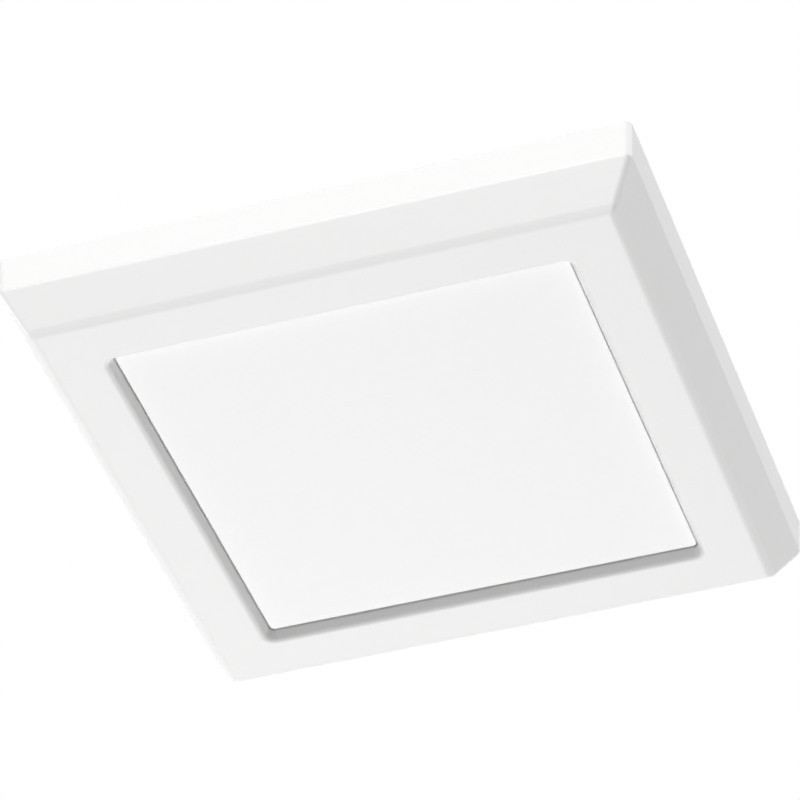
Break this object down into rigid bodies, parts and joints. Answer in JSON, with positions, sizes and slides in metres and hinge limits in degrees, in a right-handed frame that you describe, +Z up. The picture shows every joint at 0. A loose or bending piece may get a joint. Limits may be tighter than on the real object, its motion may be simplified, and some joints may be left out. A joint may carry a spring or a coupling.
{
  "type": "led ceiling light",
  "caption": "Square surface-mounted LED ceiling light: a tapered white frame with a recessed opal diffuser snaps onto a flat pan that carries the LED board, driver and supply terminals.",
  "frame": {"origin": "centre of the ceiling plane, in the middle of the four fixing slots", "axes": "+Z up towards the ceiling, so the light hangs below z = 0; -Y is the side with the driver and cable entry; +X along that side"},
  "size_m": [0.3, 0.3, 0.0395],
  "materials": {
    "frame_plastic": "satin",
    "opal_plastic": "satin",
    "pan_paint": "satin",
    "zinc_steel": "satin",
    "earth_brass": "satin",
    "spring_steel": "satin",
    "entry_rubber": "matte",
    "board_mask": "satin",
    "led_phosphor": "satin",
    "socket_plastic": "satin",
    "reflector_plastic": "matte",
    "driver_plastic": "matte",
    "circuit_board": "satin",
    "transformer_tape": "satin",
    "capacitor_sleeve": "gloss",
    "terminal_plastic": "satin",
    "button_plastic": "satin",
    "brown_insulation": "satin",
    "blue_insulation": "satin",
    "green_insulation": "satin",
    "red_insulation": "satin",
    "black_insulation": "satin"
  },
  "bodies": {
    "base": {"base_pan": "pan_paint", "pan_sides": "pan_paint", "board_screws": "zinc_steel", "reflector_screws": "zinc_steel", "driver_screws": "zinc_steel", "terminal_screws": "zinc_steel", "latch_rivets": "zinc_steel", "earth_tag": "zinc_steel", "earth_screw": "earth_brass", "latch_springs": "spring_steel", "clamp_spring_live": "spring_steel", "clamp_spring_neutral": "spring_steel", "clamp_spring_earth": "spring_steel", "cable_grommet": "entry_rubber", "led_board": "board_mask", "led_chips": "led_phosphor", "led_connector": "socket_plastic", "wire_clip": "socket_plastic", "reflector_frame": "reflector_plastic", "driver_base": "driver_plastic", "driver_cover": "driver_plastic", "driver_board": "circuit_board", "driver_transformer": "transformer_tape", "driver_capacitors": "capacitor_sleeve", "terminal_block": "terminal_plastic", "live_wire": "brown_insulation", "neutral_wire": "blue_insulation", "earth_wire": "green_insulation", "led_lead_positive": "red_insulation", "led_lead_negative": "black_insulation"},
    "cover": {"cover_frame": "frame_plastic", "diffuser": "opal_plastic", "diffuser_clamps": "zinc_steel", "clamp_screws": "zinc_steel"},
    "live_button": {"release_button_live": "button_plastic"},
    "neutral_button": {"release_button_neutral": "button_plastic"},
    "earth_button": {"release_button_earth": "button_plastic"}
  },
  "joints": [
    {"name": "cover_pull", "type": "slide", "parent": "base", "child": "cover", "axis": [0, 0, -1], "range_m": [0, 0.06], "deforming": ["latch_springs"]},
    {"name": "live_release_press", "type": "slide", "parent": "base", "child": "live_button", "axis": [0, 0, 1], "range_m": [0, 0.0012], "stiffness_N_per_m": 800, "deforming": ["clamp_spring_live"]},
    {"name": "neutral_release_press", "type": "slide", "parent": "base", "child": "neutral_button", "axis": [0, 0, 1], "range_m": [0, 0.0012], "stiffness_N_per_m": 800, "deforming": ["clamp_spring_neutral"]},
    {"name": "earth_release_press", "type": "slide", "parent": "base", "child": "earth_button", "axis": [0, 0, 1], "range_m": [0, 0.0012], "stiffness_N_per_m": 800, "deforming": ["clamp_spring_earth"]}
  ]
}
